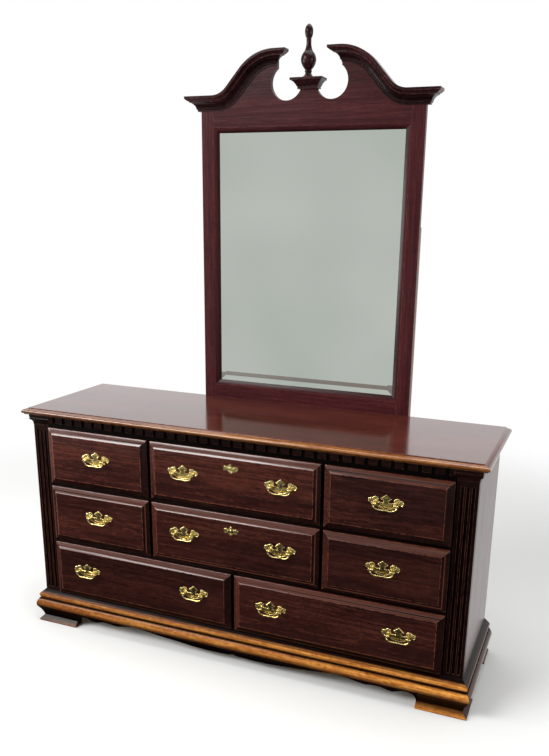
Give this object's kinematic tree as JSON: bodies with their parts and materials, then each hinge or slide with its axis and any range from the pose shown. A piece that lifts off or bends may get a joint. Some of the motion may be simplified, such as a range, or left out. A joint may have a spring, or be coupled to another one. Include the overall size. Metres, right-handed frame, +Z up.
{
  "type": "dresser with mirror",
  "caption": "Long dresser with lipped drawers, fluted pilasters, bracket feet and brass bail pulls, carrying a tall mirror with a swan-neck crown and a turned finial.",
  "frame": {"origin": "on the floor, under the middle of the whole piece", "axes": "+Z up, the drawers open towards -Y, +X to the right as seen from the front"},
  "size_m": [1.676, 0.5264, 2.1405],
  "materials": {
    "mahogany": "dark red-brown stained mahogany under a satin lacquer",
    "poplar": "planed poplar, clear sealed",
    "hardboard": "smooth brown hardboard",
    "brass": "bright lacquered brass, lightly aged in the hollows",
    "steel": "zinc plated",
    "silvered_glass": "silvered plate glass with a bevelled edge"
  },
  "bodies": {
    "cabinet": {"back_panel": "hardboard", "back_rails": "poplar", "base_front": "mahogany", "base_mouldings": "mahogany", "base_sides": "mahogany", "cornice_mouldings": "mahogany", "crown_mouldings": "mahogany", "dentil_strip": "mahogany", "drawer_runners": "poplar", "finial": "mahogany", "front_rails": "mahogany", "front_stiles": "mahogany", "inner_boards": "poplar", "mirror_backing": "hardboard", "mirror_crest": "mahogany", "mirror_frame": "mahogany", "mirror_glass": "silvered_glass", "mirror_sticking": "mahogany", "mirror_supports": "poplar", "pilasters": "mahogany", "rear_feet": "poplar", "side_panels": "mahogany", "support_screws": "steel", "top_board": "mahogany"},
    "drawer_bottom_left": {"drawer_front_bottom_left": "mahogany", "drawer_box_bottom_left": "poplar", "drawer_pulls_bottom_left": "brass"},
    "drawer_bottom_right": {"drawer_front_bottom_right": "mahogany", "drawer_box_bottom_right": "poplar", "drawer_pulls_bottom_right": "brass"},
    "drawer_middle_left": {"drawer_front_middle_left": "mahogany", "drawer_box_middle_left": "poplar", "drawer_pulls_middle_left": "brass"},
    "drawer_middle_center": {"drawer_front_middle_center": "mahogany", "drawer_box_middle_center": "poplar", "drawer_pulls_middle_center": "brass"},
    "drawer_middle_right": {"drawer_front_middle_right": "mahogany", "drawer_box_middle_right": "poplar", "drawer_pulls_middle_right": "brass"},
    "drawer_top_left": {"drawer_front_top_left": "mahogany", "drawer_box_top_left": "poplar", "drawer_pulls_top_left": "brass"},
    "drawer_top_center": {"drawer_front_top_center": "mahogany", "drawer_box_top_center": "poplar", "drawer_pulls_top_center": "brass"},
    "drawer_top_right": {"drawer_front_top_right": "mahogany", "drawer_box_top_right": "poplar", "drawer_pulls_top_right": "brass"},
    "bail_bottom_left_inner": {"bail_bottom_left_inner": "brass"},
    "bail_bottom_left_outer": {"bail_bottom_left_outer": "brass"},
    "bail_bottom_right_inner": {"bail_bottom_right_inner": "brass"},
    "bail_bottom_right_outer": {"bail_bottom_right_outer": "brass"},
    "bail_middle_center_left": {"bail_middle_center_left": "brass"},
    "bail_middle_center_right": {"bail_middle_center_right": "brass"},
    "bail_middle_left": {"bail_middle_left": "brass"},
    "bail_middle_right": {"bail_middle_right": "brass"},
    "bail_top_center_left": {"bail_top_center_left": "brass"},
    "bail_top_center_right": {"bail_top_center_right": "brass"},
    "bail_top_left": {"bail_top_left": "brass"},
    "bail_top_right": {"bail_top_right": "brass"}
  },
  "joints": [
    {"name": "slide_bottom_left", "type": "slide", "parent": "cabinet", "child": "drawer_bottom_left", "axis": [0, -1, 0], "range_m": [0, 0.31]},
    {"name": "slide_bottom_right", "type": "slide", "parent": "cabinet", "child": "drawer_bottom_right", "axis": [0, -1, 0], "range_m": [0, 0.31]},
    {"name": "slide_middle_left", "type": "slide", "parent": "cabinet", "child": "drawer_middle_left", "axis": [0, -1, 0], "range_m": [0, 0.31]},
    {"name": "slide_middle_center", "type": "slide", "parent": "cabinet", "child": "drawer_middle_center", "axis": [0, -1, 0], "range_m": [0, 0.31]},
    {"name": "slide_middle_right", "type": "slide", "parent": "cabinet", "child": "drawer_middle_right", "axis": [0, -1, 0], "range_m": [0, 0.31]},
    {"name": "slide_top_left", "type": "slide", "parent": "cabinet", "child": "drawer_top_left", "axis": [0, -1, 0], "range_m": [0, 0.31]},
    {"name": "slide_top_center", "type": "slide", "parent": "cabinet", "child": "drawer_top_center", "axis": [0, -1, 0], "range_m": [0, 0.31]},
    {"name": "slide_top_right", "type": "slide", "parent": "cabinet", "child": "drawer_top_right", "axis": [0, -1, 0], "range_m": [0, 0.31]},
    {"name": "swing_bottom_left_inner", "type": "hinge", "parent": "drawer_bottom_left", "child": "bail_bottom_left_inner", "pos_m": [-0.148, -0.25817, 0.2475], "axis": [-1, 0, 0], "range_deg": [0, 85]},
    {"name": "swing_bottom_left_outer", "type": "hinge", "parent": "drawer_bottom_left", "child": "bail_bottom_left_outer", "pos_m": [-0.596, -0.25817, 0.2475], "axis": [-1, 0, 0], "range_deg": [0, 85]},
    {"name": "swing_bottom_right_inner", "type": "hinge", "parent": "drawer_bottom_right", "child": "bail_bottom_right_inner", "pos_m": [0.148, -0.25817, 0.2475], "axis": [-1, 0, 0], "range_deg": [0, 85]},
    {"name": "swing_bottom_right_outer", "type": "hinge", "parent": "drawer_bottom_right", "child": "bail_bottom_right_outer", "pos_m": [0.596, -0.25817, 0.2475], "axis": [-1, 0, 0], "range_deg": [0, 85]},
    {"name": "swing_middle_center_left", "type": "hinge", "parent": "drawer_middle_center", "child": "bail_middle_center_left", "pos_m": [-0.18, -0.25817, 0.4695], "axis": [-1, 0, 0], "range_deg": [0, 85]},
    {"name": "swing_middle_center_right", "type": "hinge", "parent": "drawer_middle_center", "child": "bail_middle_center_right", "pos_m": [0.18, -0.25817, 0.4695], "axis": [-1, 0, 0], "range_deg": [0, 85]},
    {"name": "swing_middle_left", "type": "hinge", "parent": "drawer_middle_left", "child": "bail_middle_left", "pos_m": [-0.532, -0.25817, 0.4695], "axis": [-1, 0, 0], "range_deg": [0, 85]},
    {"name": "swing_middle_right", "type": "hinge", "parent": "drawer_middle_right", "child": "bail_middle_right", "pos_m": [0.532, -0.25817, 0.4695], "axis": [-1, 0, 0], "range_deg": [0, 85]},
    {"name": "swing_top_center_left", "type": "hinge", "parent": "drawer_top_center", "child": "bail_top_center_left", "pos_m": [-0.18, -0.25817, 0.6915], "axis": [-1, 0, 0], "range_deg": [0, 85]},
    {"name": "swing_top_center_right", "type": "hinge", "parent": "drawer_top_center", "child": "bail_top_center_right", "pos_m": [0.18, -0.25817, 0.6915], "axis": [-1, 0, 0], "range_deg": [0, 85]},
    {"name": "swing_top_left", "type": "hinge", "parent": "drawer_top_left", "child": "bail_top_left", "pos_m": [-0.532, -0.25817, 0.6915], "axis": [-1, 0, 0], "range_deg": [0, 85]},
    {"name": "swing_top_right", "type": "hinge", "parent": "drawer_top_right", "child": "bail_top_right", "pos_m": [0.532, -0.25817, 0.6915], "axis": [-1, 0, 0], "range_deg": [0, 85]}
  ]
}
